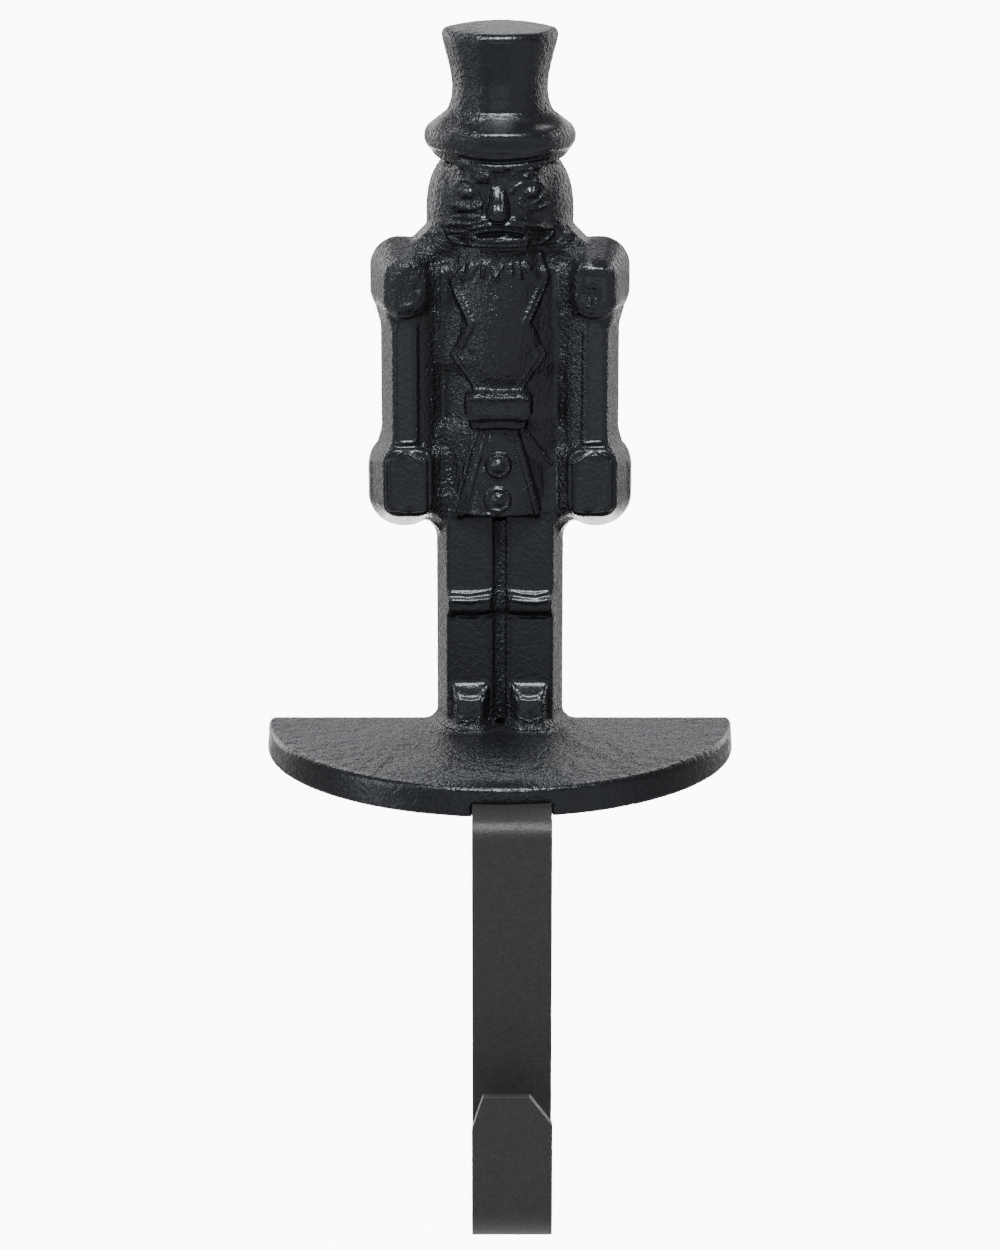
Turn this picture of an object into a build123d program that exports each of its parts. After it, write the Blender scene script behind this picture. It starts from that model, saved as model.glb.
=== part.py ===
from build123d import *
import os
from math import asin, cos, degrees, hypot, radians, sin, sqrt, tan

# A soldier figure standing on the straight back edge of a half-round plate, cast in one
# piece, with a bent strip hook screwed into a channel under the plate.
# Millimetres. X runs across, the figure faces -Y and Z is up. The origin is the middle of
# the plate's back edge, on the underside that sits on the mantel.

# Base plate
BASE_RADIUS = 62.4
BASE_THICKNESS = 7.7
RIM_LEAN = 0.6
RIM_ROUND = 1.8

# Figure, stacked up from the plate
LEG_HEIGHT = 58.5
COAT_HEIGHT = 25.5
BELT_HEIGHT = 7.6
CHEST_HEIGHT = 37.6
FACE_HEIGHT = 21.0
BRIM_HEIGHT = 12.6
CROWN_HEIGHT = 22.7

# Figure, widths across the back plane
LEG_SPAN = 33.9
HAND_SPAN = 69.7
ARM_SPAN = 62.5
SHOULDER_SPAN = 67.8
CHEST_WIDTH = 30.4
COAT_WIDTH = 31.0
BELT_WIDTH = 16.8
HEAD_WIDTH = 38.5
BRIM_WIDTH = 39.3
CROWN_WIDTH = 31.0
CROWN_WAIST = 25.0

# Figure, depths forward of the back plane
WEB_DEPTH = 6.0
LEG_DEPTH = 11.0
TOE_DEPTH = 14.2
COAT_DEPTH = 15.2
HAND_DEPTH = 15.6
ARM_DEPTH = 13.0
SHOULDER_DEPTH = 15.2
CHEST_DEPTH = 14.2
BELT_DEPTH = 16.0
FACE_DEPTH = 14.5
BRIM_DEPTH = 18.2

# Figure, casting
CAST_DRAFT = 15.5
FRONT_SHIFT = -0.4
TRIM_PROUD = 0.6
TUCK = 1.0

# Web behind the arms and legs, and the neck that flares out to the shoulders
WEB_SPAN = 51.8
WEB_FOOT = 3.4
WEB_CORNER = 5.0
NECK_DEPTH = 8.0
NECK_FLARE = 3.2
NECK_RISE = 4.2

# Legs: cuffs, toes and the sweep into the plate
LEG_GAP = 4.2
LEG_ROUND = 1.2
CUFF_LEVEL = 31.0
CUFF_HEIGHT = 7.0
CUFF_PROUD = 1.8
CUFF_BEVEL_LOW = 1.6
CUFF_BEVEL_HIGH = 2.2
CUFF_ROUND = 0.7
TOE_HEIGHT = 12.4
TOE_BEVEL = 0.6
TOE_LEDGE = 0.9
TOE_CAP_HEIGHT = 3.2
TOE_LIP = 1.1
TOE_FLARE = 0.8
TOE_BACK_WIDTH = 12.4
TOE_FRONT_WIDTH = 9.6
TOE_TIP_WIDTH = 6.0
FOOT_SWEEP = 3.5
SWEEP_TURNS = (0, 20, 40, 60, 78)

# Coat: skirt stations are (share of its height, share of its half width, depth lost)
SKIRT_STATIONS = ((0.0, 0.99, 0.0), (0.5, 1.0, 1.1), (0.78, 0.76, 1.9), (1.04, 0.53, 2.6))
STRAP_WIDTH = 2.6
STRAP_TOP_SPACING = 7.0
STRAP_HEM_SPACING = 19.4
BUTTON_RADIUS = 3.0
BUTTON_PROUD = 0.5
BUTTON_BEVEL = 0.45
BUTTON_DOME = 2.1
BUTTON_LEVELS = (4.6, 13.6)

# Belt: a buckle over a thinner band
BUCKLE_CORNER_LOW = 2.2
BUCKLE_CORNER_HIGH = 2.2
BUCKLE_ROUND = 1.8
BAND_HEIGHT = 2.1
BAND_INSET = 1.3
BAND_STEP = 1.4
BAND_ROUND = 0.6

# Chest: stations as for the skirt; zigzag corners are (distance from the middle, share of
# the chest's height)
CHEST_STATIONS = (
    (-0.15, 0.54, 2.6),
    (0.13, 0.82, 0.9),
    (0.36, 0.97, 0.0),
    (0.63, 1.0, 0.2),
    (0.85, 0.97, 0.9),
    (1.04, 0.88, 2.6),
)
ZIGZAG = ((5.2, 0.01), (11.2, 0.24), (6.9, 0.47), (11.2, 0.715), (6.6, 0.865))
ZIGZAG_WIDTH = 1.8

# Arms: sleeve, shoulder puff and fist with a raised knuckle block; INSET and LEVEL place front faces
ARM_WIDTH = 13.4
ARM_ROUND = 2.0
ARM_SWEEP = 5.5
ARM_FLARE = 1.5
ARM_SLOPE = 2.8
ARM_CREST = 8.2
ARM_BULGE = 0.9
SHOULDER_HEIGHT = 21.6
SHOULDER_WIDTH = 17.0
SHOULDER_LIFT = 1.0
SHOULDER_CORNER = 8.0
SHOULDER_FRONT_WIDTH = 10.6
SHOULDER_FRONT_HEIGHT = 14.0
SHOULDER_FRONT_CORNER = 4.8
SHOULDER_INSET = 4.4
SHOULDER_FRONT_DROP = 5.2
SHOULDER_ROUND = 2.4
HAND_HEIGHT = 26.0
HAND_WIDTH = 19.0
HAND_LEVEL = 7.2
HAND_CORNER = 9.2
PALM_WIDTH = 12.6
PALM_HEIGHT = 17.6
PALM_CORNER = 3.6
PALM_INSET = 4.6
PALM_LEVEL = 9.2
PALM_ROUND = 1.0
KNUCKLE_PROUD = 0.9
KNUCKLE_WIDTH = 10.8
KNUCKLE_INSET = 5.4
KNUCKLE_LOW = -5.8
KNUCKLE_HIGH = 8.0
KNUCKLE_PEAK = 2.6
KNUCKLE_PEAK_INSET = 4.6
KNUCKLE_CORNER = 1.4
KNUCKLE_DRAFT = 12.0
KNUCKLE_ROUND = 0.7

# Head: heights of the features are above the chin
CHIN_BEVEL = 1.2
CHIN_BEVEL_HEIGHT = 0.8
CHEEK_LEVELS = (0.38, 0.72)
CHEEK_SHARE = 0.955
TEMPLE_SHARE = 0.775
JAW_WIDTH = 15.0
JAW_HEIGHT = 2.3
JAW_PROUD = 1.5
JAW_CORNER = 0.9
MOUTH_WIDTH = 12.8
MOUTH_NARROWING = 2.8
MOUTH_HEIGHT = 1.4
MOUTH_DEPTH = 1.0
MOUSTACHE_SPAN = 25.2
MOUSTACHE_TIP = 3.4
MOUSTACHE_LOW = 5.0
MOUSTACHE_HIGH = 6.4
MOUSTACHE_SWELL = 1.0
MOUSTACHE_PARTING = 1.2
MOUSTACHE_PROUD = 1.5
NOSE_STATIONS = ((6.7, 5.6, 2.4), (9.5, 4.8, 3.6), (12.6, 4.0, 2.2), (16.8, 4.6, 0.5))
BROW_LEVEL = 18.4
BROW_SPACING = 9.8
BROW_RADIUS = 4.2
BROW_PROUD = 0.4
EYE_LEVEL = 13.7
EYE_SPACING = 15.6
EYE_RADIUS = 3.4
EYE_RING = 1.3
EYE_SUNK = 0.5
EYEBALL_RADIUS = 2.1

# Hat
CROWN_SLOPE = 13.0
CROWN_DOME = 56.0
CROWN_LEVELS = (0.24, 0.62)
CROWN_FOOT = 1.2
CROWN_ROUND = 2.0
BRIM_ROLL = 1.4
BRIM_ROLL_LOW = 2.6
BRIM_ROLL_HIGH = 9.0
BRIM_UNDERCUT = 5.0
PEAK_INSET = 1.9
PEAK_THICKNESS = 3.0
PEAK_LEVEL = 3.6
PEAK_TILT = 12.0

# Hook strip
STRIP_WIDTH = 20.0
STRIP_THICKNESS = 3.0
STRIP_OFFSET = 3.0
STRIP_REACH = 14.0
STRIP_BEND = 4.5
HOOK_DROP = 102.0
HOOK_GAP = 18.8
LIP_RISE = 39.0
LIP_LEAN = 6.0
LIP_TRIM_LEFT = (2.8, 8.6)
LIP_TRIM_RIGHT = (5.8, 7.4)

# Fixing under the plate
CHANNEL_DEPTH = 3.4
CHANNEL_CLEARANCE = 0.3
CHANNEL_BACK = 4.0
SCREW_DIAMETER = 3.0
SCREW_HEAD_DIAMETER = 5.8
SCREW_LENGTH = 10.0
SCREW_SPACING = 13.2
SCREW_SETBACK = 8.5
SCREW_CLEARANCE = 0.1
SLOT_WIDTH = 0.8
SLOT_DEPTH = 0.7

# Levels of the figure's parts above the underside
HEM = BASE_THICKNESS + LEG_HEIGHT
BELT_LOW = HEM + COAT_HEIGHT
BELT_TOP = BELT_LOW + BELT_HEIGHT
CHIN = BELT_TOP + CHEST_HEIGHT
BROW = CHIN + FACE_HEIGHT
CROWN_LOW = BROW + BRIM_HEIGHT
HAT_TOP = CROWN_LOW + CROWN_HEIGHT

# The legs' walls lean in by this much from the back plane to their front faces, which sets
# where a leg's inner wall starts and where its middle is.
LEG_LEAN = LEG_DEPTH * tan(radians(CAST_DRAFT))
LEG_OUTER = LEG_SPAN / 2
LEG_INNER = LEG_GAP / 2 - LEG_LEAN
LEG_MIDDLE = (LEG_OUTER + LEG_INNER) / 2

# The figure is drawn lying on its back: x across, y up the body, z forward out of the back
# plane. STAND stands it up on the plate, and FORWARD is longer than any of its depths.
STAND = Plane(origin=(0, 0, 0), x_dir=(1, 0, 0), z_dir=(0, -1, 0))
FORWARD = 4 * BRIM_DEPTH
ON_FLOOR = (Align.CENTER, Align.CENTER, Align.MIN)


def drawn(outline, depth, lean=CAST_DRAFT):
    """An outline on the back plane, drawn forward with walls that lean in like a casting's."""
    block = extrude(outline, amount=depth)
    walls = block.faces().filter_by(lambda face: abs(face.normal_at().Z) < 0.5)
    return draft(walls, Plane.XY, lean)


def front_edges(solid):
    """The edges around a solid's foremost face."""
    return solid.faces().sort_by(Axis.Z)[-1].edges()


def half_oval(level, half_width, depth):
    """Half an oval across the figure at one level, its straight side on the back plane."""
    arc = EllipticalCenterArc((0, 0), half_width, depth, arc_size=180)
    back = Line((-half_width, 0), (half_width, 0))
    across = Plane(origin=(0, level, 0), x_dir=(1, 0, 0), z_dir=(0, -1, 0))
    return across * make_face(Curve() + [arc, back])


def half_round(sections, proud=0.0):
    """A form lofted up the body through half ovals, optionally grown by an even amount."""
    return loft([half_oval(level, width + proud, depth + proud) for level, width, depth in sections])


def stations(table, low, height, width, depth):
    """Sections of a form whose table gives shares of its height and width and depth lost."""
    return [(low + up * height, out * width / 2, depth - lost) for up, out, lost in table]


def setback(half_width, depth):
    """How far behind the back plane a turned form of this half width and depth has its axis."""
    return (half_width**2 - depth**2) / (2 * depth)


def turned(profile, axis_back):
    """The part forward of the back plane of a form turned about an upright axis behind it."""
    whole = revolve(make_face(profile), axis=Axis.Y)
    return split(Pos(0, 0, -axis_back) * whole, bisect_by=Plane.XY, keep=Keep.TOP)


def both_sides(solid):
    return solid + mirror(solid, about=Plane.YZ)


def base_plate():
    """Half-round plate with a leaning rim and a rounded top edge, flat along the back."""
    plate = Cone(BASE_RADIUS, BASE_RADIUS - RIM_LEAN, BASE_THICKNESS, align=ON_FLOOR)
    plate = fillet(plate.edges().sort_by(Axis.Z)[-1], RIM_ROUND)
    return split(plate, bisect_by=Plane.XZ, keep=Keep.TOP)


def web():
    """The thin back of the figure, joining the arms and legs to the body."""
    low = Pos(0, HEM / 2) * Rectangle(LEG_SPAN, HEM)
    top = CHIN - TUCK
    foot = HEM - WEB_FOOT
    high = Pos(0, (top + foot) / 2) * Rectangle(WEB_SPAN, top - foot)
    outline = low + high
    at_foot = outline.vertices().filter_by(lambda v: abs(v.Y - foot) < 0.01)
    corners = at_foot.filter_by(lambda v: abs(abs(v.X) - LEG_OUTER) < 0.01)
    return drawn(fillet(corners, WEB_CORNER), WEB_DEPTH)


def neck():
    """The cast fillet between the head's sides and the shoulders."""
    beside = HEAD_WIDTH / 2
    low = CHIN - NECK_RISE
    high = CHIN + SHOULDER_LIFT
    outline = Polyline(
        (-beside - NECK_FLARE, low),
        (beside + NECK_FLARE, low),
        (beside + NECK_FLARE, high),
        (beside - TUCK, high + NECK_RISE),
        (TUCK - beside, high + NECK_RISE),
        (-beside - NECK_FLARE, high),
        close=True,
    )
    return drawn(make_face(outline), NECK_DEPTH)


def leg():
    """One leg with its boot cuff and toe, on the viewer's right."""
    tall = HEM + COAT_DEPTH / 2
    outline = Pos(LEG_MIDDLE, tall / 2) * Rectangle(LEG_OUTER - LEG_INNER, tall)
    shank = drawn(outline, LEG_DEPTH)
    shank = fillet(front_edges(shank), LEG_ROUND)

    cuff_low = BASE_THICKNESS + CUFF_LEVEL
    cuff_top = cuff_low + CUFF_HEIGHT
    proud = LEG_DEPTH + CUFF_PROUD
    sunk = LEG_DEPTH - CUFF_PROUD
    band = Polyline(
        (cuff_low - CUFF_BEVEL_LOW, sunk),
        (cuff_low + CUFF_BEVEL_LOW, proud),
        (cuff_top - CUFF_BEVEL_HIGH, proud),
        (cuff_top + CUFF_BEVEL_HIGH, sunk),
        close=True,
    )
    band = fillet(make_face(band).vertices().sort_by(Axis.Y)[-2:], CUFF_ROUND)
    cuff = extrude(Plane.YZ * band, amount=FORWARD) & drawn(outline, proud + TUCK)

    toe_top = BASE_THICKNESS + TOE_HEIGHT
    toe_foot = TOE_DEPTH + TOE_FLARE
    side = Polyline(
        (0, 0),
        (0, toe_foot),
        (BASE_THICKNESS, toe_foot),
        (toe_top - TOE_CAP_HEIGHT - TOE_BEVEL, TOE_DEPTH),
        (toe_top - TOE_CAP_HEIGHT, TOE_DEPTH - TOE_LIP),
        (toe_top - TOE_BEVEL, LEG_DEPTH + TOE_LEDGE),
        (toe_top, LEG_DEPTH),
        (toe_top, 0),
        close=True,
    )
    plan = Polyline(
        (LEG_MIDDLE - TOE_BACK_WIDTH / 2, 0),
        (LEG_MIDDLE - TOE_FRONT_WIDTH / 2, LEG_DEPTH),
        (LEG_MIDDLE - TOE_TIP_WIDTH / 2, toe_foot),
        (LEG_MIDDLE + TOE_TIP_WIDTH / 2, toe_foot),
        (LEG_MIDDLE + TOE_FRONT_WIDTH / 2, LEG_DEPTH),
        (LEG_MIDDLE + TOE_BACK_WIDTH / 2, 0),
        close=True,
    )
    toe = extrude(Plane.YZ * make_face(side), amount=FORWARD)
    toe &= extrude(STAND * make_face(plan), amount=-toe_top)
    return shank + cuff + toe


def foot_sweep():
    """The cast fillet that sweeps from the plate up into one boot, on the viewer's right."""
    inward = TUCK / 2
    toe_front = inward - TOE_DEPTH - TOE_FLARE
    leg_front = inward - LEG_DEPTH
    plan = make_face(
        Polyline(
            (LEG_OUTER, inward),
            (LEG_OUTER - LEG_LEAN, leg_front),
            (LEG_MIDDLE + TOE_TIP_WIDTH / 2, toe_front),
            (LEG_MIDDLE - TOE_TIP_WIDTH / 2, toe_front),
            (LEG_INNER + LEG_LEAN, leg_front),
            (LEG_INNER, inward),
            close=True,
        )
    )
    rings = []
    for swing in SWEEP_TURNS:
        out = FOOT_SWEEP * (1 - sin(radians(swing)))
        rise = FOOT_SWEEP * (1 - cos(radians(swing)))
        rings.append(Pos(0, 0, BASE_THICKNESS + rise) * offset(plan, amount=out, kind=Kind.ARC))
    return split(loft(rings), bisect_by=Plane.XZ, keep=Keep.TOP)


def coat():
    """The flared skirt of the coat, with its two straps and two buttons."""
    skirt = stations(SKIRT_STATIONS, HEM, COAT_HEIGHT, COAT_WIDTH, COAT_DEPTH)
    body = half_round(skirt)
    top = STRAP_TOP_SPACING / 2
    foot = STRAP_HEM_SPACING / 2
    half = STRAP_WIDTH / 2
    strap = Polyline(
        (top - half, BELT_LOW),
        (top + half, BELT_LOW),
        (foot + half, HEM),
        (foot - half, HEM),
        close=True,
    )
    straps = both_sides(extrude(make_face(strap), amount=FORWARD)) & half_round(skirt, TRIM_PROUD)
    body += Pos(FRONT_SHIFT, 0, 0) * straps
    face_at = COAT_DEPTH - TUCK
    for level in BUTTON_LEVELS:
        boss = Cylinder(BUTTON_RADIUS, face_at + BUTTON_PROUD, align=ON_FLOOR)
        boss = chamfer(boss.edges().sort_by(Axis.Z)[-1], BUTTON_BEVEL)
        dome = Pos(0, 0, face_at - BUTTON_PROUD) * Sphere(BUTTON_DOME)
        body += Pos(FRONT_SHIFT, HEM + level, 0) * (boss + dome)
    return body


def belt():
    """The buckle block at the waist, rounded at its lower corners, over a thinner band."""
    block = Pos(FRONT_SHIFT, (BELT_LOW + BELT_TOP) / 2) * Rectangle(BELT_WIDTH, BELT_HEIGHT)
    block = fillet(block.vertices().sort_by(Axis.Y)[:2], BUCKLE_CORNER_LOW)
    block = fillet(block.vertices().sort_by(Axis.Y)[-2:], BUCKLE_CORNER_HIGH)
    buckle = extrude(block, amount=BELT_DEPTH)
    buckle = fillet(front_edges(buckle), BUCKLE_ROUND)
    low = BELT_LOW - BAND_HEIGHT
    high = BELT_LOW + TUCK
    band = Pos(FRONT_SHIFT, (low + high) / 2) * Rectangle(BELT_WIDTH - 2 * BAND_INSET, high - low)
    band = extrude(band, amount=BELT_DEPTH - BAND_STEP)
    return buckle + fillet(front_edges(band), BAND_ROUND)


def chest():
    """The rounded breast of the coat, with the raised zigzag edging of its front."""
    breast = stations(CHEST_STATIONS, BELT_TOP, CHEST_HEIGHT, CHEST_WIDTH, CHEST_DEPTH)
    body = half_round(breast)
    corners = [(out, BELT_TOP + up * CHEST_HEIGHT) for out, up in ZIGZAG]
    inner = [(out - ZIGZAG_WIDTH / 2, level) for out, level in corners]
    outer = [(out + ZIGZAG_WIDTH / 2, level) for out, level in reversed(corners)]
    edging = make_face(Polyline(*inner, *outer, close=True))
    edging = both_sides(extrude(edging, amount=FORWARD)) & half_round(breast, TRIM_PROUD)
    return body + Pos(FRONT_SHIFT, 0, 0) * edging


def arm():
    """One straight arm with its shoulder puff and fist, on the viewer's right."""
    hand_middle = HEM + HAND_LEVEL
    shoulder_top = CHIN + SHOULDER_LIFT
    shoulder_middle = shoulder_top - SHOULDER_HEIGHT / 2
    outer = ARM_SPAN / 2
    low = hand_middle + (HAND_HEIGHT - HAND_CORNER) / 2
    high = shoulder_middle - (SHOULDER_HEIGHT - SHOULDER_CORNER) / 2
    sleeve = Polyline(
        (outer - ARM_WIDTH, hand_middle),
        (outer + ARM_FLARE, hand_middle),
        (outer + ARM_FLARE, low),
        (outer, low + ARM_SWEEP),
        (outer, high - ARM_SWEEP),
        (outer + ARM_FLARE, high),
        (outer + ARM_FLARE, shoulder_middle),
        (outer - ARM_WIDTH, shoulder_middle),
        close=True,
    )
    sleeve = drawn(make_face(sleeve), ARM_DEPTH)
    sleeve = fillet(front_edges(sleeve), ARM_ROUND)

    foot = Vector(outer - ARM_WIDTH - ARM_SLOPE, WEB_DEPTH - TUCK)
    crest = Vector(outer - ARM_CREST, ARM_DEPTH - TUCK / 4)
    bulge = (foot + crest) / 2 + Vector(-ARM_BULGE, ARM_BULGE)
    inner_side = Curve() + [
        ThreePointArc(foot, bulge, crest),
        Polyline(crest, (crest.X, 0), (foot.X, 0), foot),
    ]
    across = Plane(origin=(0, hand_middle, 0), x_dir=(1, 0, 0), z_dir=(0, -1, 0))
    sleeve += extrude(across * make_face(inner_side), amount=hand_middle - shoulder_middle)

    puff = Pos((SHOULDER_SPAN - SHOULDER_WIDTH) / 2, shoulder_middle)
    puff *= RectangleRounded(SHOULDER_WIDTH, SHOULDER_HEIGHT, SHOULDER_CORNER)
    puff_x = (SHOULDER_SPAN - SHOULDER_FRONT_WIDTH) / 2 - SHOULDER_INSET
    puff_y = shoulder_top - SHOULDER_FRONT_DROP - SHOULDER_FRONT_HEIGHT / 2
    puff_front = RectangleRounded(SHOULDER_FRONT_WIDTH, SHOULDER_FRONT_HEIGHT, SHOULDER_FRONT_CORNER)
    puff = loft([puff, Pos(puff_x, puff_y, SHOULDER_DEPTH) * puff_front])
    puff = fillet(front_edges(puff), SHOULDER_ROUND)

    fist = Pos((HAND_SPAN - HAND_WIDTH) / 2, hand_middle)
    fist *= RectangleRounded(HAND_WIDTH, HAND_HEIGHT, HAND_CORNER)
    palm = Pos((HAND_SPAN - PALM_WIDTH) / 2 - PALM_INSET, HEM + PALM_LEVEL, HAND_DEPTH - KNUCKLE_PROUD)
    fist = loft([fist, palm * RectangleRounded(PALM_WIDTH, PALM_HEIGHT, PALM_CORNER)])
    fist = fillet(front_edges(fist), PALM_ROUND)
    outer = HAND_SPAN / 2 - KNUCKLE_INSET
    inner = outer - KNUCKLE_WIDTH
    knuckles = Polyline(
        (inner, hand_middle + KNUCKLE_LOW),
        (outer, hand_middle + KNUCKLE_LOW),
        (outer, hand_middle + KNUCKLE_HIGH),
        (outer - KNUCKLE_PEAK_INSET, hand_middle + KNUCKLE_HIGH + KNUCKLE_PEAK),
        (inner, hand_middle + KNUCKLE_HIGH),
        close=True,
    )
    knuckles = fillet(make_face(knuckles).vertices(), KNUCKLE_CORNER)
    knuckles = drawn(knuckles, KNUCKLE_PROUD + TUCK, KNUCKLE_DRAFT)
    knuckles = fillet(front_edges(knuckles), KNUCKLE_ROUND)
    return sleeve + puff + fist + Pos(0, 0, HAND_DEPTH - KNUCKLE_PROUD - TUCK) * knuckles


HEAD_BACK = setback(HEAD_WIDTH / 2, FACE_DEPTH)
HEAD_RADIUS = hypot(HEAD_WIDTH / 2, HEAD_BACK)


def head_form(proud=0.0):
    """The turned barrel of the head, optionally grown or shrunk by an even amount."""
    cheek = HEAD_RADIUS + proud
    temple = cheek * TEMPLE_SHARE
    top = BROW + TUCK
    chin_edge = (cheek - CHIN_BEVEL / 3, CHIN + CHIN_BEVEL_HEIGHT)
    side = Spline(
        chin_edge,
        (cheek, CHIN + FACE_HEIGHT * CHEEK_LEVELS[0]),
        (cheek * CHEEK_SHARE, CHIN + FACE_HEIGHT * CHEEK_LEVELS[1]),
        (temple, top),
    )
    ends = Polyline((temple, top), (0, top), (0, CHIN), (cheek - CHIN_BEVEL, CHIN), chin_edge)
    return turned(Curve() + [side, ends], HEAD_BACK)


def cheek_depth(x):
    """How far forward of the back plane the head's barrel is at this distance from the middle."""
    return sqrt(HEAD_RADIUS**2 - x**2) - HEAD_BACK


def eye_ring():
    """A raised ring with sloping sides, standing on the cheek round an eye."""
    ridge = EYE_RADIUS - EYE_RING / 2
    outside = Cone(EYE_RADIUS + EYE_RING, ridge, EYE_RING)
    inside = Cone(ridge - EYE_RING, ridge - EYE_RING / 4, EYE_RING)
    return outside - inside


def face():
    """The head with its brows, ringed eyes, nose, moustache and jaw."""
    head = head_form()
    mouth_low = CHIN + JAW_HEIGHT
    mouth_high = mouth_low + MOUTH_HEIGHT
    low = MOUTH_WIDTH / 2
    high = low - MOUTH_NARROWING / 2
    mouth = Polyline((-low, mouth_low), (low, mouth_low), (high, mouth_high), (-high, mouth_high), close=True)
    mouth = extrude(make_face(mouth), amount=FORWARD)
    head -= Pos(FRONT_SHIFT, 0, 0) * mouth - head_form(-MOUTH_DEPTH)

    jaw = Pos(FRONT_SHIFT, CHIN + JAW_HEIGHT / 2) * RectangleRounded(JAW_WIDTH, JAW_HEIGHT, JAW_CORNER)
    head += extrude(jaw, amount=FORWARD) & head_form(JAW_PROUD)

    part = MOUSTACHE_PARTING / 2
    end = MOUSTACHE_SPAN / 2
    half = (part + end) / 2
    tip = CHIN + MOUSTACHE_TIP
    top = CHIN + MOUSTACHE_HIGH
    under = CHIN + MOUSTACHE_LOW
    wing = Curve() + [
        ThreePointArc((part, top), (half, top + MOUSTACHE_SWELL), (end, tip)),
        ThreePointArc((end, tip), (half, under - MOUSTACHE_SWELL / 2), (part, under)),
        Line((part, under), (part, top)),
    ]
    moustache = both_sides(extrude(make_face(wing), amount=FORWARD)) & head_form(MOUSTACHE_PROUD)
    head += Pos(FRONT_SHIFT, 0, 0) * moustache

    nose = [(CHIN + up, half_width, cheek_depth(0) + proud) for up, half_width, proud in NOSE_STATIONS]
    head += Pos(FRONT_SHIFT, 0, 0) * half_round(nose)

    for side in (-1, 1):
        brow_x = side * BROW_SPACING / 2
        brow_at = cheek_depth(brow_x) + BROW_PROUD - BROW_RADIUS
        head += Pos(FRONT_SHIFT + brow_x, CHIN + BROW_LEVEL, brow_at) * Sphere(BROW_RADIUS)
        eye_x = side * EYE_SPACING / 2
        turn = degrees(asin(eye_x / HEAD_RADIUS))
        eye = Pos(eye_x, CHIN + EYE_LEVEL, cheek_depth(eye_x) - EYE_SUNK) * Rot(0, turn, 0)
        head += eye * eye_ring()
        head += eye * Pos(0, 0, -EYE_SUNK) * Sphere(EYEBALL_RADIUS)
    return head


def hat():
    """The tall hat: a waisted crown with a sloping top over a rolled brim and a small peak."""
    back = setback(BRIM_WIDTH / 2, BRIM_DEPTH)
    brim = hypot(BRIM_WIDTH / 2, back)
    waist = CROWN_WAIST / 2
    crown = CROWN_WIDTH / 2
    foot = waist + CROWN_FOOT
    over = HAT_TOP + TUCK
    roll_low = (brim - BRIM_ROLL, BROW + BRIM_ROLL_LOW)
    roll_high = (brim - BRIM_ROLL, BROW + BRIM_ROLL_HIGH)
    side = Spline(
        (foot, CROWN_LOW),
        (waist, CROWN_LOW + CROWN_HEIGHT * CROWN_LEVELS[0]),
        ((waist + crown) / 2, CROWN_LOW + CROWN_HEIGHT * CROWN_LEVELS[1]),
        (crown, over),
    )
    top = Polyline((crown, over), (0, over), (0, BROW))
    under = Polyline((0, BROW), (brim - BRIM_UNDERCUT, BROW), roll_low)
    edge = ThreePointArc(roll_low, (brim, BROW + (BRIM_ROLL_LOW + BRIM_ROLL_HIGH) / 2), roll_high)
    slope = Line(roll_high, (foot, CROWN_LOW))
    form = turned(Curve() + [side, top, under, edge, slope], back)

    lid = Pos(0, HAT_TOP, 0) * Rot(CROWN_SLOPE, 0, 0)
    form &= lid * Pos(0, -CROWN_DOME, 0) * Cylinder(CROWN_DOME, FORWARD)
    top_face = form.faces().filter_by(GeomType.CYLINDER).sort_by(Axis.Y)[-1]
    rim = top_face.edges().filter_by(lambda e: e.center().Z > TUCK)
    form = fillet(rim, CROWN_ROUND)

    peak = Rot(90 + PEAK_TILT, 0, 0) * Cylinder(brim - PEAK_INSET, PEAK_THICKNESS)
    peak = Pos(0, BROW + PEAK_LEVEL, -back) * peak
    return form + split(peak, bisect_by=Plane.XY, keep=Keep.TOP)


def channel():
    """The slot under the plate that the strip's tongue lies in, open at the rim."""
    width = STRIP_WIDTH + 2 * CHANNEL_CLEARANCE
    slot = Box(width, BASE_RADIUS, CHANNEL_DEPTH, align=(Align.CENTER, Align.MAX, Align.MIN))
    return Pos(STRIP_OFFSET, -CHANNEL_BACK, 0) * slot


def screw_places():
    return [
        Pos(STRIP_OFFSET + side * SCREW_SPACING / 2, -SCREW_SETBACK, CHANNEL_DEPTH - STRIP_THICKNESS)
        for side in (-1, 1)
    ]


def casting():
    """The figure stood on the plate, with the strip's channel and blind screw holes below."""
    figure = web() + neck() + both_sides(leg()) + coat() + belt() + chest() + both_sides(arm()) + face() + hat()
    body = base_plate() + both_sides(foot_sweep()) + STAND * figure - channel()
    bore = Cylinder(SCREW_DIAMETER / 2 + SCREW_CLEARANCE, SCREW_LENGTH + SCREW_CLEARANCE, align=ON_FLOOR)
    for place in screw_places():
        body -= place * bore
    return body


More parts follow.
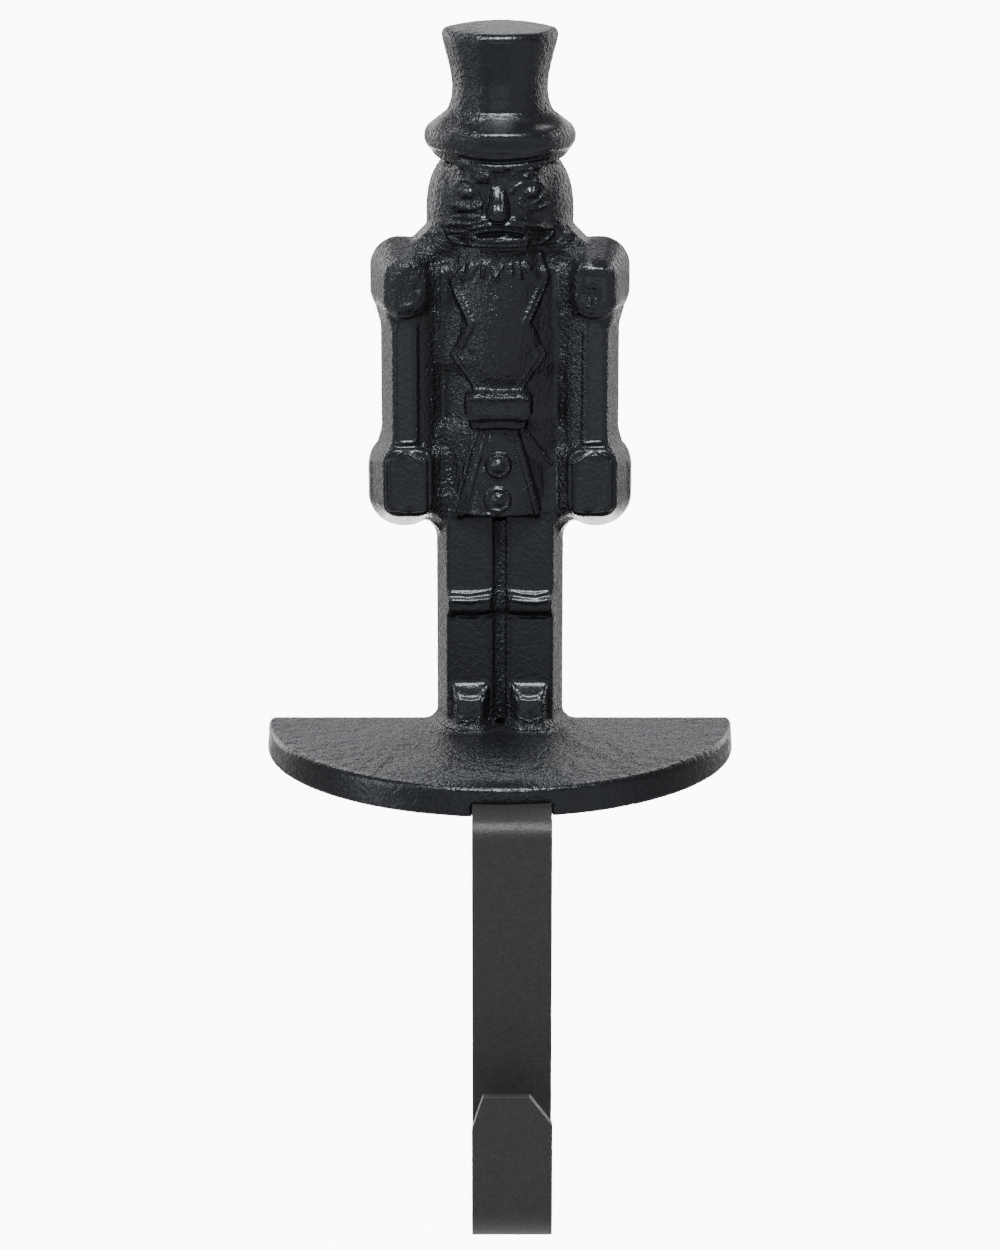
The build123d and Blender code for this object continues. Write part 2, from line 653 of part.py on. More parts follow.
def hook_strip():
    """Flat strip: a tongue under the plate, a tight bend down, a round J and a trimmed lip."""
    front = -BASE_RADIUS - STRIP_REACH
    rear = -CHANNEL_BACK - CHANNEL_CLEARANCE
    top = CHANNEL_DEPTH
    inner_bend = STRIP_BEND - STRIP_THICKNESS
    knee = (front + STRIP_BEND, top - STRIP_BEND)
    inner_j = HOOK_GAP / 2
    outer_j = inner_j + STRIP_THICKNESS
    hub = (front - inner_j, outer_j - HOOK_DROP)
    round_inner = CenterArc(hub, inner_j, 0, -180 - LIP_LEAN)
    round_outer = CenterArc(hub, outer_j, 0, -180 - LIP_LEAN)
    lip_length = (LIP_RISE - outer_j) / cos(radians(LIP_LEAN))
    up = Vector(sin(radians(LIP_LEAN)), cos(radians(LIP_LEAN))) * lip_length
    tip_inner = round_inner @ 1 + up
    tip_outer = round_outer @ 1 + up
    profile = Curve() + [
        Line((rear, top), (knee[0], top)),
        CenterArc(knee, STRIP_BEND, 90, 90),
        Line((front, knee[1]), (front, hub[1])),
        round_inner,
        Polyline(round_inner @ 1, tip_inner, tip_outer, round_outer @ 1),
        round_outer,
        Line((front + STRIP_THICKNESS, hub[1]), (front + STRIP_THICKNESS, knee[1])),
        CenterArc(knee, inner_bend, 180, -90),
        Polyline((knee[0], top - STRIP_THICKNESS), (rear, top - STRIP_THICKNESS), (rear, top)),
    ]
    strip = extrude(Plane.YZ * make_face(profile), amount=STRIP_WIDTH)
    strip = Pos(STRIP_OFFSET - STRIP_WIDTH / 2, 0, 0) * strip

    tip = max(tip_inner.Y, tip_outer.Y)
    lip_back = Plane(origin=(0, hub[0], 0), x_dir=(1, 0, 0), z_dir=(0, -1, 0))
    for side, (across, down) in ((-1, LIP_TRIM_LEFT), (1, LIP_TRIM_RIGHT)):
        edge = STRIP_OFFSET + side * STRIP_WIDTH / 2
        corner = Polyline(
            (edge + side * TUCK, tip + TUCK),
            (edge - side * across, tip + TUCK),
            (edge - side * across, tip),
            (edge, tip - down),
            (edge + side * TUCK, tip - down),
            close=True,
        )
        strip -= extrude(lip_back * make_face(corner), amount=FORWARD)

    hole = SCREW_DIAMETER / 2 + SCREW_CLEARANCE
    sink = SCREW_HEAD_DIAMETER / 2
    drill = Cylinder(hole, STRIP_THICKNESS, align=ON_FLOOR) + Cone(sink, hole, sink - hole, align=ON_FLOOR)
    for place in screw_places():
        strip -= place * drill
    return strip


def hook_screws():
    """Two countersunk screws, heads flush with the tongue, slots across."""
    shank = SCREW_DIAMETER / 2
    sink = SCREW_HEAD_DIAMETER / 2
    screw = Cone(sink, shank, sink - shank, align=ON_FLOOR) + Cylinder(shank, SCREW_LENGTH, align=ON_FLOOR)
    screw -= Box(SCREW_HEAD_DIAMETER + TUCK, SLOT_WIDTH, 2 * SLOT_DEPTH)
    return Compound(children=[place * screw for place in screw_places()])


os.makedirs("parts", exist_ok=True)
export_step(casting(), "parts/nutcracker_casting.step")
export_step(hook_strip(), "parts/hook_strip.step")
export_step(hook_screws(), "parts/hook_screws.step")
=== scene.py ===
import math

import bmesh
import bpy
import numpy as np
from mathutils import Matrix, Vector
from mathutils.bvhtree import BVHTree


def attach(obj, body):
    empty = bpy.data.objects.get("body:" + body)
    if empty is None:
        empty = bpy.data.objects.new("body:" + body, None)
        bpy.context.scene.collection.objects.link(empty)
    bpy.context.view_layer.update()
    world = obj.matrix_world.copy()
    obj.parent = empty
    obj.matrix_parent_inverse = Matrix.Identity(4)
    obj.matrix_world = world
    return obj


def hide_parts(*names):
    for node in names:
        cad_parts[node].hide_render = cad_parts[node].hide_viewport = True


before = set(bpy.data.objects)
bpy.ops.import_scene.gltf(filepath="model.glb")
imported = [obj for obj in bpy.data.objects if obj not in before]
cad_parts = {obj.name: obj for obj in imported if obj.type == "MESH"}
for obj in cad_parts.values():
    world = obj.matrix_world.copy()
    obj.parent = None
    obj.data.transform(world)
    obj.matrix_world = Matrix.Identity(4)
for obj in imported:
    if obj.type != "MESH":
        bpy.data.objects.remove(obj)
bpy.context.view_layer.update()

scene = bpy.context.scene
MM = 0.001

# Casting surface: lengths in millimetres
VOXEL = 0.34
FINE_VOXEL = 0.29
CASTING_TRIANGLES = 194000
GRID = 0.2
GRID_LEFT = -37.0
GRID_FOOT = 8.6
GRID_TOP = 195.0
OUTSIDE = -20.0
NOOK_SWEEP = 0.9
VALLEY_SWEEP = 2.2
POCKET_SWEEP = 4.2
POCKET_FILL = 3.4
BROW_SWEEP = 2.2
LEG_SWEEP = 2.4
EDGE_ROUND = 0.9
PUFF_ROUND = 4.0
SAND_MOST = 2.0

# Hat's brim: the level of its ridge, its droop to the sides, and the band's heights by level above the ridge
BRIM_RIDGE = 165.8
BRIM_DROOP = 0.0045
BRIM_BAND = (
    (-2.6, 0.0), (-1.6, 0.2), (-1.1, 0.35), (-0.6, 0.5), (-0.2, 0.6), (0.2, 0.6), (0.6, 0.5), (1.0, 0.25),
    (1.4, -0.2), (1.8, -0.8), (2.2, -1.5), (2.5, -1.8), (2.8, -1.8), (4.2, -1.3), (6.2, -0.6), (9.0, 0.0),
)

# Levels and places across the figure that the fills and the grain keep to
HEM = 66.0
SHOULDER = 134.0
ARM_VALLEY = 16.8
BODY_DEPTH = 15.0
BODY_SLOPE = 0.45
WAIST_DIP = 1.4

# Strip, and the channel that it lies in
STRIP_EDGE = 0.35
CHANNEL_GAP = 0.3
CHANNEL_ROOF = 3.4


def new_object(name, mesh):
    obj = bpy.data.objects.new(name, mesh)
    scene.collection.objects.link(obj)
    return obj


def node_copy(node, name):
    """A welded copy of a CAD node's mesh as a piece of its own."""
    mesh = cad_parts[node].data.copy()
    mesh.name = name
    mesh.materials.clear()
    bm = bmesh.new()
    bm.from_mesh(mesh)
    bmesh.ops.remove_doubles(bm, verts=bm.verts, dist=0.002 * MM)
    bm.to_mesh(mesh)
    bm.free()
    return new_object(name, mesh)


def settle(obj):
    """Applies an object's modifiers to its mesh."""
    graph = bpy.context.evaluated_depsgraph_get()
    graph.update()
    mesh = bpy.data.meshes.new_from_object(obj.evaluated_get(graph))
    mesh.name = obj.name
    obj.modifiers.clear()
    obj.data = mesh


def coordinates(mesh):
    co = np.empty(len(mesh.vertices) * 3)
    mesh.vertices.foreach_get("co", co)
    return co.reshape(-1, 3) / MM


def set_coordinates(mesh, co):
    mesh.vertices.foreach_set("co", (co * MM).ravel())
    mesh.update()


def normals(mesh):
    out = np.empty(len(mesh.vertices) * 3)
    mesh.vertices.foreach_get("normal", out)
    return out.reshape(-1, 3)


def edge_ends(mesh):
    ends = np.empty(len(mesh.edges) * 2, dtype=np.int64)
    mesh.edges.foreach_get("vertices", ends)
    return ends.reshape(-1, 2)


def soften(co, ends, rounds, amount=0.6):
    """Evens out neighbouring vertices, as the sand and the coat soften a casting."""
    count = np.bincount(ends.ravel(), minlength=len(co))[:, None].clip(1)
    for _ in range(rounds):
        total = np.zeros_like(co)
        for axis in range(3):
            total[:, axis] = np.bincount(ends[:, 0], co[ends[:, 1], axis], len(co))
            total[:, axis] += np.bincount(ends[:, 1], co[ends[:, 0], axis], len(co))
        co = co + amount * (total / count - co)
    return co


def smoothstep(low, high, value):
    t = np.clip((value - low) / (high - low), 0, 1)
    return t * t * (3 - 2 * t)


def shifted(field, down, right):
    """The field moved by whole cells, its edges repeated."""
    rows = np.clip(np.arange(field.shape[0]) - down, 0, field.shape[0] - 1)
    columns = np.clip(np.arange(field.shape[1]) - right, 0, field.shape[1] - 1)
    return field[rows][:, columns]


def rolled(field, radius, sign):
    """The surface that a ball's centre leaves as it rolls over a field of depths, from either side."""
    reach = int(radius / GRID)
    out = np.full_like(field, -sign * 1e9)
    pick = np.maximum if sign > 0 else np.minimum
    for down in range(-reach, reach + 1):
        for right in range(-reach, reach + 1):
            rest = radius**2 - (down**2 + right**2) * GRID**2
            if rest > 0:
                pick(out, shifted(field, down, right) + sign * (math.sqrt(rest) - radius), out=out)
    return out


def swept(field, radius):
    """The field with its inner corners filled to a radius."""
    return rolled(rolled(field, radius, 1), radius, -1)


def rounded(field, radius):
    """The field with its outer corners worn to a radius."""
    return rolled(rolled(field, radius, -1), radius, 1)


def blurred(field, sigma):
    """A soft blur of a field, in both directions."""
    reach = int(3 * sigma / GRID) + 1
    weights = np.exp(-0.5 * (np.arange(-reach, reach + 1) * GRID / sigma) ** 2)
    weights /= weights.sum()
    for axis in (0, 1):
        total = np.zeros_like(field)
        for step, weight in zip(range(-reach, reach + 1), weights):
            total += weight * shifted(field, step * (axis == 0), step * (axis == 1))
        field = total
    return field


class Relief:
    """The figure's front as depths forward of its back plane, on an even grid of x and level."""

    def __init__(self, mesh):
        bm = bmesh.new()
        bm.from_mesh(mesh)
        tree = BVHTree.FromBMesh(bm)
        bm.free()
        self.columns = np.arange(GRID_LEFT, -GRID_LEFT + GRID, GRID)
        self.rows = np.arange(GRID_FOOT, GRID_TOP, GRID)
        self.x, self.z = np.meshgrid(self.columns, self.rows)
        ahead = Vector((0, 1, 0))
        self.cast = np.full(self.x.shape, OUTSIDE)
        for row, level in enumerate(self.rows):
            for column, across in enumerate(self.columns):
                hit = tree.ray_cast(Vector((across * MM, -0.1, level * MM)), ahead)[0]
                if hit is not None:
                    self.cast[row, column] = -hit.y / MM
        self.inside = self.cast > OUTSIDE / 2
        self.depth = self.cast.copy()

    def at(self, field, x, z):
        """Values of a field at points between the grid's."""
        u = np.clip((x - self.columns[0]) / GRID, 0, len(self.columns) - 1.001)
        v = np.clip((z - self.rows[0]) / GRID, 0, len(self.rows) - 1.001)
        i, j = u.astype(int), v.astype(int)
        a, b = u - i, v - j
        low = field[j, i] * (1 - a) + field[j, i + 1] * a
        high = field[j + 1, i] * (1 - a) + field[j + 1, i + 1] * a
        return low * (1 - b) + high * b

    def near(self, left, right, low, high, soft=2.0):
        """One inside a rectangle of the front, fading to nothing outside it."""
        across = smoothstep(left - soft, left, self.x) * (1 - smoothstep(right, right + soft, self.x))
        return across * smoothstep(low - soft, low, self.z) * (1 - smoothstep(high, high + soft, self.z))

    def sweep(self):
        """Wears the edges, then fills the inner corners: wide beside the body, tight elsewhere."""
        worn = rounded(self.cast, EDGE_ROUND)
        keep = smoothstep(5.0, 7.0, self.cast)
        base = self.cast + keep * (worn - self.cast)
        puffs = self.near(-40, -18, 117, 140) + self.near(18, 40, 117, 140)
        base += keep * puffs * (rounded(base, PUFF_ROUND) - base)
        # the body's sides slope straight down to the valleys beside the arms
        waist = WAIST_DIP * self.near(-20, 20, 92, 102, 5.0)
        flank = BODY_DEPTH - BODY_SLOPE * np.abs(self.x) - waist
        sides = self.near(-17.0, 17.0, 67, 130, 1.5) * smoothstep(4.0, 7.0, np.abs(self.x))
        base += sides * np.maximum(flank - base, 0)
        tight = swept(base, NOOK_SWEEP)
        side = smoothstep(9.0, 12.0, np.abs(self.x)) * self.near(-40, 40, 64, 142, 4.0)
        side *= 1 - smoothstep(10.0, 13.0, self.cast)
        pocket = side * (self.near(-40, 40, 118, 142, 4.0) + self.near(-40, 40, 64, 82, 3.0))
        gap = self.near(-4.5, 3.8, 10, 64, 1.5)
        brow = self.near(-16, 16, 152, 160, 1.5)
        filled = tight + side * np.maximum(swept(base, VALLEY_SWEEP) - tight, 0)
        filled += pocket * np.clip(swept(base, POCKET_SWEEP) - filled, 0, POCKET_FILL)
        filled += gap * np.maximum(swept(base, LEG_SWEEP) - tight, 0)
        filled += brow * np.maximum(swept(base, BROW_SWEEP) - filled, 0)
        self.depth = np.where(self.inside, filled, self.cast)

    def recess(self, reach):
        """How far each point lies behind what stands around it."""
        around = self.depth.copy()
        for turn in range(16):
            angle = turn * math.pi / 8
            for share in (0.5, 1.0):
                down = int(round(math.sin(angle) * reach * share / GRID))
                right = int(round(math.cos(angle) * reach * share / GRID))
                around = np.maximum(around, shifted(self.depth, down, right))
        return around - self.depth

    # Carving: heights in millimetres

    def away(self, points):
        """How far each point is from a line through these corners."""
        best = np.full_like(self.x, 1e9)
        for (ax, az), (bx, bz) in zip(points, points[1:]):
            dx, dz = bx - ax, bz - az
            along = ((self.x - ax) * dx + (self.z - az) * dz) / (dx * dx + dz * dz)
            along = np.clip(along, 0, 1)
            best = np.minimum(best, np.hypot(self.x - ax - along * dx, self.z - az - along * dz))
        return best

    def stroke(self, points, width, rise):
        """A ridge, or a groove where rise is negative, along a line."""
        t = np.clip(self.away(points) / (width / 2), 0, 1)
        self.depth += rise * 0.5 * (1 + np.cos(np.pi * t))

    def bump(self, x, z, across, up, rise, turn=0.0):
        """A dome or a dimple on an oval."""
        c, s = math.cos(math.radians(turn)), math.sin(math.radians(turn))
        u = (self.x - x) * c + (self.z - z) * s
        v = (self.z - z) * c - (self.x - x) * s
        t = np.clip(np.hypot(u / across, v / up), 0, 1)
        self.depth += rise * 0.5 * (1 + np.cos(np.pi * t))

    def ring(self, x, z, across, up, width, rise):
        r = np.hypot((self.x - x) / across, (self.z - z) / up)
        t = np.clip(np.abs(r - 1) * (across + up) / width, 0, 1)
        self.depth += rise * 0.5 * (1 + np.cos(np.pi * t))


def carve_hat(cut):
    # the crown runs straight down to a shelf, which ends in the ridge on top of the brim
    above, heights = zip(*BRIM_BAND)
    levels = BRIM_RIDGE + np.array(above)
    band = np.interp(cut.z + BRIM_DROOP * cut.x**2, levels, heights)
    cut.depth += band * cut.near(-11, 11, 150, 190, 5.0)
    # the brim's lower edge, the groove under it and the peak's edge
    cut.stroke([(-10.7, 160.8), (-6.2, 160.0), (0.1, 159.8), (6.4, 160.1), (13.0, 160.9)], 1.3, 1.0)
    cut.stroke([(-10.0, 159.4), (-5.0, 158.7), (0.1, 158.5), (6.0, 158.8), (12.0, 159.6)], 1.5, -0.6)
    peak = [(-5.6, 158.1), (-2.6, 157.5), (0.4, 157.3), (4.6, 157.5), (7.3, 158.2), (10.6, 158.8)]
    cut.stroke(peak, 1.1, 0.45)


def carve_face(cut):
    # the brow carried down to the nose, and the ground of the face evened out beside the nose
    brow = 14.6 - 0.02 * cut.x**2
    cut.depth += cut.near(-10, 10, 152.0, 157.0, 2.0) * np.maximum(brow - cut.depth, 0)
    nose = cut.near(-3.2, 2.4, 143.8, 160.0, 1.5) * (1 - smoothstep(146.5, 153.0, cut.z))
    even = cut.near(-13, 13, 138.0, 156.0, 1.5) * (1 - nose)
    cut.depth += even * (blurred(cut.depth, 1.3) - cut.depth)
    # brows: a rough bulge on one side, a knob in a curl on the other
    cut.bump(-4.0, 155.0, 3.6, 2.3, 1.2, 12)
    cut.bump(6.5, 154.9, 1.5, 1.4, 1.1)
    cut.stroke([(3.4, 155.4), (4.3, 156.4), (6.0, 157.0), (7.8, 156.7), (8.6, 155.6)], 1.3, 0.8)
    # eyeballs in their sockets
    for x, z in ((-8.0, 150.6), (7.9, 150.6)):
        cut.bump(x, z, 4.4, 3.8, -1.0)
        cut.bump(x, z, 2.7, 2.5, 2.0)
    # lids that slope to the nose, in two lines
    lid = [(-10.2, 153.6), (-8.6, 153.9), (-7.1, 153.2), (-5.3, 151.6), (-4.1, 149.9), (-3.6, 148.2)]
    cut.stroke(lid, 1.2, 0.8)
    cut.stroke([(-9.0, 152.8), (-7.3, 152.3), (-5.9, 151.0), (-5.0, 149.6)], 0.8, 0.35)
    lid = [(2.9, 150.6), (3.3, 151.9), (4.9, 152.9), (7.9, 153.7), (10.4, 153.1), (11.3, 151.8)]
    cut.stroke(lid, 1.2, 0.8)
    cut.stroke([(4.6, 151.4), (6.0, 152.5), (8.0, 152.9), (9.8, 152.4)], 0.8, 0.35)
    # lower lid on the right, and the roll under the left eye
    lid = [(5.0, 149.2), (6.2, 148.3), (7.9, 147.9), (9.4, 148.4), (10.5, 149.8), (11.3, 150.9)]
    cut.stroke(lid, 1.1, 0.9)
    cut.stroke([(5.0, 147.8), (7.0, 146.8), (9.6, 146.6), (11.6, 147.4)], 1.6, 0.8)
    cut.stroke([(-11.6, 147.4), (-9.4, 146.8), (-7.2, 146.8), (-5.2, 147.4)], 2.0, 0.9)
    # pouches, and the cheeks below them
    cut.bump(-9.4, 144.6, 4.4, 1.6, -1.1, 4)
    cut.bump(7.9, 144.4, 4.8, 1.7, -1.1, -4)
    cut.stroke([(-12.6, 142.6), (-9.6, 142.9), (-6.8, 143.0), (-5.0, 143.6)], 2.1, 1.0)
    cut.stroke([(3.8, 143.6), (6.4, 143.0), (9.4, 142.2), (12.2, 141.2)], 2.5, 1.3)
    cut.stroke([(5.0, 144.2), (8.2, 143.4), (10.9, 142.9)], 0.8, 0.3)
    # nose: bridge, ridge, wings and the roll under the bulb
    cut.bump(-0.6, 150.4, 2.4, 3.2, 0.8)
    cut.stroke([(-1.5, 153.6), (-1.5, 149.0)], 1.5, 0.45)
    cut.stroke([(0.8, 150.2), (0.9, 148.0)], 1.1, 0.35)
    cut.bump(-0.5, 146.4, 2.9, 1.9, 0.3)
    cut.stroke([(-2.6, 144.6), (-0.6, 144.2), (1.8, 144.6)], 1.3, 0.45)
    wings = [(-4.2, 147.8), (-3.9, 145.6), (-2.9, 144.0), (-1.6, 143.3), (1.0, 143.3), (2.2, 144.2)]
    cut.stroke([*wings, (2.6, 147.4)], 0.9, -0.5)
    # moustache: two rolled lines with grooves over and between them
    upper = [
        (-13.0, 139.9), (-8.6, 140.6), (-6.2, 142.0), (-2.6, 142.6), (2.2, 142.6), (5.5, 142.2), (7.3, 140.8),
        (10.0, 139.9), (12.9, 139.4),
    ]
    second = [
        (-9.4, 138.9), (-7.4, 140.0), (-5.0, 141.1), (-1.4, 141.5), (2.2, 141.3), (5.8, 140.7), (7.3, 139.4),
        (9.7, 138.6), (12.4, 138.4),
    ]
    cut.stroke([(x, z + 1.0) for x, z in upper], 1.1, -0.6)
    cut.stroke(upper, 1.0, 0.75)
    cut.stroke([(x, z - 0.65) for x, z in upper], 0.8, -0.5)
    cut.stroke(second, 1.0, 0.75)
    # mouth: the opening, the tongue and the lower lip's bright bar
    cut.stroke([(-5.4, 139.7), (-2.0, 140.2), (2.2, 140.3), (5.8, 139.7)], 1.6, -1.0)
    cut.stroke([(-3.0, 139.4), (-1.0, 139.4), (0.4, 139.7), (1.9, 140.5)], 0.8, 0.55)
    cut.stroke([(-5.0, 138.6), (-1.0, 138.4), (5.4, 138.5)], 1.2, 0.8)
    cut.bump(-6.4, 138.9, 1.2, 0.9, 0.7)
    cut.bump(6.2, 138.6, 1.1, 0.8, 0.5)
    # chin line, curling up into the jowls
    chin = [(-13.1, 138.8), (-11.4, 137.3), (-8.0, 136.9), (6.0, 136.9), (10.4, 137.1), (13.2, 139.2)]
    cut.stroke(chin, 1.1, 0.7)
    cut.stroke([(-12.6, 138.9), (-10.4, 137.9)], 0.8, 0.4)


def carve_chest(cut):
    # strokes of the collar
    for points, width in (
        ([(-5.8, 132.1), (-8.3, 128.4)], 1.2),
        ([(-7.4, 132.2), (-9.7, 127.8)], 1.0),
        ([(-10.0, 130.4), (-12.4, 126.8)], 1.3),
        ([(-4.2, 132.6), (-4.4, 129.0)], 1.1),
        ([(-3.4, 132.4), (-0.2, 128.2)], 1.1),
        ([(0.5, 131.7), (-2.6, 127.2)], 1.1),
        ([(2.6, 132.0), (3.0, 129.6)], 1.0),
        ([(4.6, 132.2), (5.3, 128.7)], 1.2),
        ([(6.3, 132.0), (11.4, 127.2)], 2.0),
        ([(10.3, 134.4), (12.0, 128.4)], 1.4),
    ):
        cut.stroke(points, width * 1.15, 0.9)
    cut.stroke([(6.3, 132.0), (11.4, 127.2)], 0.8, -0.5)
    # the edging's middle line
    right = [(10.8, 126.2), (6.5, 117.0), (10.8, 108.3), (4.8, 99.7)]
    left = [(-11.6, 126.2), (-7.3, 117.0), (-11.6, 108.3), (-5.6, 99.7)]
    for side in (right, left):
        cut.stroke(side, 3.0, 0.7)
        cut.stroke(side, 1.1, -0.8)
    # beads down the middle
    for step in range(11):
        cut.bump(-0.9, 125.6 - 2.3 * step, 0.8, 0.8, 0.3)
    for x, z in ((-2.6, 116.8), (1.6, 108.4), (-2.1, 120.5), (-2.1, 103.2), (0.2, 109.9)):
        cut.bump(x, z, 0.8, 0.8, 0.45)


def carve_shoulders(cut):
    # right: a roll on top with two high spots, a dimple low down, and knuckles at its foot
    cut.stroke([(19.6, 131.4), (27.0, 131.4)], 3.6, 0.7)
    cut.bump(19.8, 131.6, 2.4, 2.0, 0.5)
    cut.bump(26.4, 131.6, 2.0, 1.8, 0.4)
    cut.bump(23.4, 124.4, 3.4, 4.2, -0.8)
    cut.stroke([(22.4, 126.6), (23.6, 127.3), (24.8, 126.6)], 1.4, 0.6)
    cut.stroke([(22.9, 123.6), (22.7, 121.6)], 1.3, 0.7)
    cut.stroke([(24.5, 123.6), (24.6, 121.6)], 1.3, 0.7)
    cut.bump(19.4, 123.2, 1.6, 2.2, 0.7)
    cut.stroke([(20.0, 119.6), (23.4, 118.6), (27.4, 119.4)], 1.2, 0.6)
    # left: a rough bulge on top, a knob on the inner side and a lip at the foot
    cut.bump(-23.9, 132.4, 4.6, 2.4, 0.9)
    cut.bump(-19.0, 127.4, 1.5, 2.4, 0.6)
    cut.bump(-21.2, 126.4, 1.4, 2.2, -0.6)
    cut.bump(-23.4, 121.9, 2.2, 1.2, 0.8)
    cut.stroke([(-26.4, 118.7), (-23.0, 118.9), (-19.2, 120.3)], 1.1, 0.6)


def carve_coat(cut):
    # buckle: rolled top corners, and a sagging lower edge
    cut.stroke([(-7.2, 97.9), (-4.8, 98.3), (-2.0, 98.0), (2.0, 98.1), (4.6, 98.4), (7.0, 97.9)], 1.8, 0.6)
    cut.stroke([(-7.0, 92.2), (-3.6, 91.5), (0.0, 91.3), (3.6, 91.5), (6.6, 92.2)], 0.9, 0.4)
    # each strap as a pair of ridges
    for x, lean in ((-3.9, -6.4), (3.2, 6.0)):
        cut.stroke([(x, 89.4), (x + lean, 66.8)], 3.6, 0.7)
        cut.stroke([(x, 89.4), (x + lean, 66.8)], 1.2, -0.9)
    cut.stroke([(-7.0, 86.6), (-11.8, 67.6)], 1.3, 0.45)
    cut.stroke([(6.2, 88.6), (9.6, 84.0), (13.4, 79.4)], 1.6, 0.6)
    # arched panel between the straps
    cut.stroke([(-2.6, 85.8), (-2.0, 88.0), (-0.4, 89.0), (1.2, 88.0), (2.0, 85.8)], 0.9, 0.5)
    # buttons in their rings
    cut.ring(-0.4, 79.9, 2.8, 2.8, 1.0, 0.8)
    cut.ring(-0.4, 79.9, 3.6, 3.6, 0.9, -0.4)
    cut.ring(-0.6, 70.9, 2.9, 2.9, 1.0, 0.7)
    cut.ring(-0.6, 70.9, 3.8, 3.8, 0.9, -0.4)
    cut.bump(-4.1, 78.3, 1.0, 1.0, 0.7)
    # hem
    cut.stroke([(-13.5, 67.2), (-6.0, 66.9), (0.0, 67.2), (6.0, 66.9), (13.0, 67.2)], 1.1, 0.4)


def carve_hands(cut):
    cut.stroke([(-26.8, 81.9), (-23.9, 83.5), (-18.9, 80.7)], 1.1, 0.5)
    cut.stroke([(18.9, 80.7), (22.1, 82.7), (24.6, 83.0), (27.9, 82.0)], 1.1, 0.5)
    cut.stroke([(-26.0, 85.6), (-22.4, 85.8)], 1.2, 0.7)
    cut.stroke([(21.9, 85.6), (26.2, 85.8)], 1.2, 0.7)
    cut.stroke([(-26.8, 68.4), (-23.6, 67.7), (-19.4, 68.4)], 1.0, 0.5)
    cut.stroke([(19.6, 68.4), (23.0, 67.7), (26.6, 68.3)], 1.0, 0.5)


def carve_legs(cut):
    # cuffs: a double roll along the top and a sagging shadow below
    for points in (
        [(-12.8, 44.8), (-8.0, 44.6), (-2.8, 45.2)],
        [(1.8, 45.2), (6.0, 44.6), (9.5, 44.3), (12.6, 45.0)],
    ):
        cut.stroke([(x, z + 0.4) for x, z in points], 0.9, 0.45)
        cut.stroke([(x, z - 0.5) for x, z in points], 0.8, -0.4)
        cut.stroke([(x, z - 1.5) for x, z in points], 1.0, 0.45)
    cut.stroke([(-11.0, 38.9), (-7.0, 38.6), (-2.8, 39.6)], 1.8, -0.7)
    cut.stroke([(1.8, 39.6), (6.0, 38.7), (12.0, 38.6)], 1.8, -0.7)
    # toe caps: the lines across their tops and the curved edge below
    cut.stroke([(-12.0, 19.9), (-4.0, 20.0)], 0.8, 0.4)
    cut.stroke([(3.3, 20.0), (12.2, 19.9)], 0.8, 0.4)
    cut.stroke([(-11.2, 17.6), (-10.2, 16.7), (-7.6, 16.3), (-5.4, 16.8), (-4.2, 18.6)], 0.9, 0.5)
    cut.stroke([(4.0, 18.6), (5.6, 16.8), (7.8, 16.3), (10.2, 16.8), (11.2, 18.0)], 0.9, 0.5)


def remesh(obj, size):
    """Covers an object with an even mesh and softens its steps."""
    modifier = obj.modifiers.new("remesh", "REMESH")
    modifier.mode = "VOXEL"
    modifier.voxel_size = size * MM
    settle(obj)
    set_coordinates(obj.data, soften(coordinates(obj.data), edge_ends(obj.data), 2))


def grain_map(relief, co, normal):
    """How sandy each vertex is: most in the valleys and on the side walls, least on proud faces."""
    x, z = co[:, 0], co[:, 2]
    seam = 1 - smoothstep(0.8, 2.4, np.abs(np.abs(relief.x) - ARM_VALLEY))
    left = 0.7 * relief.near(-15.5, -8.5, HEM, 132, 1.5) * smoothstep(-22, -9, -np.abs(relief.z - 80))
    left = np.maximum(left, 0.5 * relief.near(-15.5, -9.5, HEM, 132, 1.5))
    slope = 0.4 * relief.near(18, 22, 70, 118, 1.5)
    body = relief.near(-40, 40, HEM, SHOULDER, 3.0) * np.maximum(seam, np.maximum(left, slope))
    body = np.maximum(body, 0.8 * relief.near(-1.4, 0.8, 10, 64, 1.2))
    neck = relief.near(-22, 22, 132, 137, 2.5) * smoothstep(10.0, 14.0, np.abs(relief.x))
    body = np.maximum(body, neck)
    hollow = body * smoothstep(0.4, 1.8, blurred(relief.recess(4.0), 0.5))
    # rough patches: chest, left shoulder, hat's left, the toes' foot, left brow, cheek and pouch, and coat
    patches = 0.4 * relief.near(-12, 12, 98, 135) + 0.6 * relief.near(-31, -17, 121, 137)
    patches += 0.5 * relief.near(-20, -7, 162, 190, 4.0) + 0.8 * relief.near(-14, 14, 8, 11.5, 1.5)
    patches += 0.8 * relief.near(-6.5, -1.5, 153.8, 156.6, 1.0)
    patches += 0.8 * relief.near(-12, -5, 141.8, 143.4, 0.8)
    patches += 0.8 * relief.near(-11.5, -5, 146, 148, 0.8) + 0.2 * relief.near(-13, 13, HEM, 90)
    sand = np.maximum(relief.at(hollow, x, z), relief.at(patches, x, z))
    sand = np.maximum(sand, smoothstep(0.45, 0.8, np.abs(normal[:, 0])))
    plate = z < GRID_FOOT
    top = 0.25 + 1.75 * smoothstep(8.0, 28.0, np.abs(x[plate] + 2.0))
    sand[plate] = np.where(normal[plate, 2] > 0.8, top, 0.1)
    return np.clip(sand, 0, SAND_MOST)


